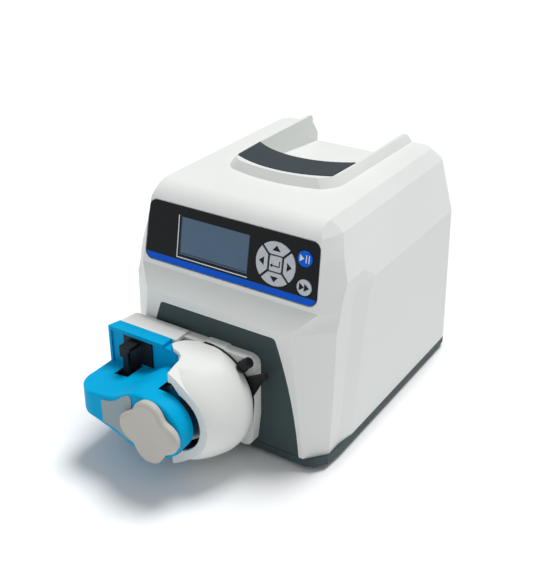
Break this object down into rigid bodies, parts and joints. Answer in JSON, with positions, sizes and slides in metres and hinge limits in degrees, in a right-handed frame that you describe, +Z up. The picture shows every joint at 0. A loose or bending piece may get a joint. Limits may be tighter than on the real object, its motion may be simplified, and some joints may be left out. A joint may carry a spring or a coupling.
{
  "type": "peristaltic pump",
  "caption": "Bench peristaltic pump: keypad drive with a hand recess on top and an easy-load tubing head on its front.",
  "frame": {"origin": "centre of the bounding box's underside, on the surface that the rubber feet stand on", "axes": "+Z up, -Y out of the front panel and pump head, +X to the right seen from the front; the pump axis runs along Y at x = 0"},
  "size_m": [0.205, 0.346, 0.2191],
  "materials": {
    "case_white": "fine satin texture",
    "case_slate": "fine satin texture",
    "grip_inlay": "soft matt",
    "panel_membrane": "smooth, slightly glossy membrane",
    "display_glass": "clear glossy",
    "display_black": "matt",
    "key_silver": "satin silver",
    "key_blue": "satin",
    "circuit_board": "solder mask",
    "power_board": "solder mask",
    "rear_metal": "satin anodised",
    "screw_steel": "plated",
    "black_plastic": "satin",
    "foot_rubber": "matt",
    "bracket_steel": "zinc plated",
    "motor_steel": "satin black",
    "gear_steel": "ground",
    "gear_nylon": "natural",
    "bronze": "sintered",
    "head_white": "satin moulded",
    "head_blue": "satin moulded",
    "label_grey": "printed film",
    "head_black": "satin",
    "knob_beige": "soft satin",
    "rotor_metal": "turned",
    "roller_metal": "ground"
  },
  "bodies": {
    "drive": {"housing_shell": "case_white", "front_panel": "case_slate", "base_tray": "case_slate", "top_grip_pad": "grip_inlay", "keypad_overlay": "panel_membrane", "display_window": "display_glass", "display_module": "display_black", "keypad_board": "circuit_board", "control_board": "circuit_board", "power_supply": "power_board", "rear_panel": "rear_metal", "rear_panel_screws": "screw_steel", "case_screws": "screw_steel", "head_mounting_screws": "screw_steel", "power_inlet": "black_plastic", "power_switch_frame": "black_plastic", "remote_socket": "black_plastic", "fan_frame": "black_plastic", "rubber_feet": "foot_rubber", "motor_bracket": "bracket_steel", "gear_plate": "bracket_steel", "motor": "motor_steel", "upper_retainer_spring": "gear_steel", "lower_retainer_spring": "gear_steel", "shaft_bushes": "bronze", "head_mounting_plate": "head_white", "head_frame": "head_white", "head_body": "head_blue", "head_label_plate": "label_grey", "tube_guides": "head_black"},
    "fuse_drawer": {"fuse_drawer": "black_plastic"},
    "power_rocker": {"power_rocker": "black_plastic"},
    "fan_rotor": {"fan_rotor": "black_plastic"},
    "motor_pinion": {"motor_pinion": "gear_steel"},
    "rotor": {"output_shaft": "gear_steel", "drive_gear": "gear_nylon", "rotor_shaft": "gear_steel", "rotor_cage": "rotor_metal", "roller_pins": "gear_steel"},
    "knob": {"knob": "knob_beige", "knob_shaft": "gear_steel"},
    "shell": {"occlusion_shell": "head_white", "occlusion_bed": "head_black", "shell_rack": "gear_steel", "shell_rods": "gear_steel"},
    "lever": {"occlusion_lever": "head_black"},
    "plunger": {"lever_plunger": "head_black"},
    "upper_retainer": {"upper_tube_retainer": "head_black"},
    "lower_retainer": {"lower_tube_retainer": "head_black"},
    "key_up": {"key_up": "key_silver"},
    "key_down": {"key_down": "key_silver"},
    "key_left": {"key_left": "key_silver"},
    "key_right": {"key_right": "key_silver"},
    "key_enter": {"key_enter": "key_silver"},
    "key_start_stop": {"key_start_stop": "key_blue"},
    "key_fast_forward": {"key_fast_forward": "key_silver"},
    "roller_1": {"roller_1": "roller_metal"},
    "roller_2": {"roller_2": "roller_metal"},
    "roller_3": {"roller_3": "roller_metal"},
    "roller_4": {"roller_4": "roller_metal"}
  },
  "joints": [
    {"name": "rotor_spin", "type": "hinge", "parent": "drive", "child": "rotor", "pos_m": [0, 0, 0.0575], "axis": [0, 1, 0], "continuous": true},
    {"name": "motor_spin", "type": "hinge", "parent": "drive", "child": "motor_pinion", "pos_m": [0, 0, 0.0863], "axis": [0, 1, 0], "continuous": true},
    {"name": "knob_turn", "type": "hinge", "parent": "drive", "child": "knob", "pos_m": [-0.004, 0, 0.0575], "axis": [0, -1, 0], "range_deg": [0, 95]},
    {"name": "shell_open", "type": "slide", "parent": "drive", "child": "shell", "axis": [1, 0, 0], "range_m": [0, 0.00753]},
    {"name": "lever_turn", "type": "hinge", "parent": "shell", "child": "lever", "pos_m": [0, 0, 0.0575], "axis": [0, 1, 0], "range_deg": [-8, 8]},
    {"name": "plunger_pull", "type": "slide", "parent": "lever", "child": "plunger", "axis": [0.7071, 0, 0.7071], "range_m": [0, 0.0025], "stiffness_N_per_m": 600},
    {"name": "upper_retainer_press", "type": "slide", "parent": "drive", "child": "upper_retainer", "axis": [0, 0, -1], "range_m": [0, 0.005], "stiffness_N_per_m": 500, "deforming": ["upper_retainer_spring"]},
    {"name": "lower_retainer_press", "type": "slide", "parent": "drive", "child": "lower_retainer", "axis": [0, 0, 1], "range_m": [0, 0.005], "stiffness_N_per_m": 500, "deforming": ["lower_retainer_spring"]},
    {"name": "rocker_tilt", "type": "hinge", "parent": "drive", "child": "power_rocker", "pos_m": [0, 0.1666, 0.0426], "axis": [-1, 0, 0], "range_deg": [0, 10]},
    {"name": "fuse_drawer_pull", "type": "slide", "parent": "drive", "child": "fuse_drawer", "axis": [0, 0.997, 0.0778], "range_m": [0, 0.011]},
    {"name": "fan_spin", "type": "hinge", "parent": "drive", "child": "fan_rotor", "pos_m": [-0.03, 0.15341, 0.10877], "axis": [0, 0.997, 0.0778], "continuous": true},
    {"name": "roller_1_spin", "type": "hinge", "parent": "rotor", "child": "roller_1", "pos_m": [0.01237, 0, 0.06987], "axis": [0, 1, 0], "continuous": true},
    {"name": "roller_2_spin", "type": "hinge", "parent": "rotor", "child": "roller_2", "pos_m": [-0.01237, 0, 0.06987], "axis": [0, 1, 0], "continuous": true},
    {"name": "roller_3_spin", "type": "hinge", "parent": "rotor", "child": "roller_3", "pos_m": [-0.01237, 0, 0.04513], "axis": [0, 1, 0], "continuous": true},
    {"name": "roller_4_spin", "type": "hinge", "parent": "rotor", "child": "roller_4", "pos_m": [0.01237, 0, 0.04513], "axis": [0, 1, 0], "continuous": true},
    {"name": "key_up_press", "type": "slide", "parent": "drive", "child": "key_up", "axis": [0, 0.9848, -0.1736], "range_m": [0, 0.0006], "stiffness_N_per_m": 1500},
    {"name": "key_down_press", "type": "slide", "parent": "drive", "child": "key_down", "axis": [0, 0.9848, -0.1736], "range_m": [0, 0.0006], "stiffness_N_per_m": 1500},
    {"name": "key_left_press", "type": "slide", "parent": "drive", "child": "key_left", "axis": [0, 0.9848, -0.1736], "range_m": [0, 0.0006], "stiffness_N_per_m": 1500},
    {"name": "key_right_press", "type": "slide", "parent": "drive", "child": "key_right", "axis": [0, 0.9848, -0.1736], "range_m": [0, 0.0006], "stiffness_N_per_m": 1500},
    {"name": "key_enter_press", "type": "slide", "parent": "drive", "child": "key_enter", "axis": [0, 0.9848, -0.1736], "range_m": [0, 0.0006], "stiffness_N_per_m": 1500},
    {"name": "key_start_stop_press", "type": "slide", "parent": "drive", "child": "key_start_stop", "axis": [0, 0.9848, -0.1736], "range_m": [0, 0.0006], "stiffness_N_per_m": 1500},
    {"name": "key_fast_forward_press", "type": "slide", "parent": "drive", "child": "key_fast_forward", "axis": [0, 0.9848, -0.1736], "range_m": [0, 0.0006], "stiffness_N_per_m": 1500}
  ],
  "couplings": [
    {"joint": "motor_spin", "follows": "rotor_spin", "ratio": -3},
    {"joint": "knob_turn", "follows": "shell_open", "rad_per_m": 208.33},
    {"joint": "roller_1_spin", "follows": "rotor_spin", "ratio": -3.1875},
    {"joint": "roller_2_spin", "follows": "rotor_spin", "ratio": -3.1875},
    {"joint": "roller_3_spin", "follows": "rotor_spin", "ratio": -3.1875},
    {"joint": "roller_4_spin", "follows": "rotor_spin", "ratio": -3.1875}
  ]
}
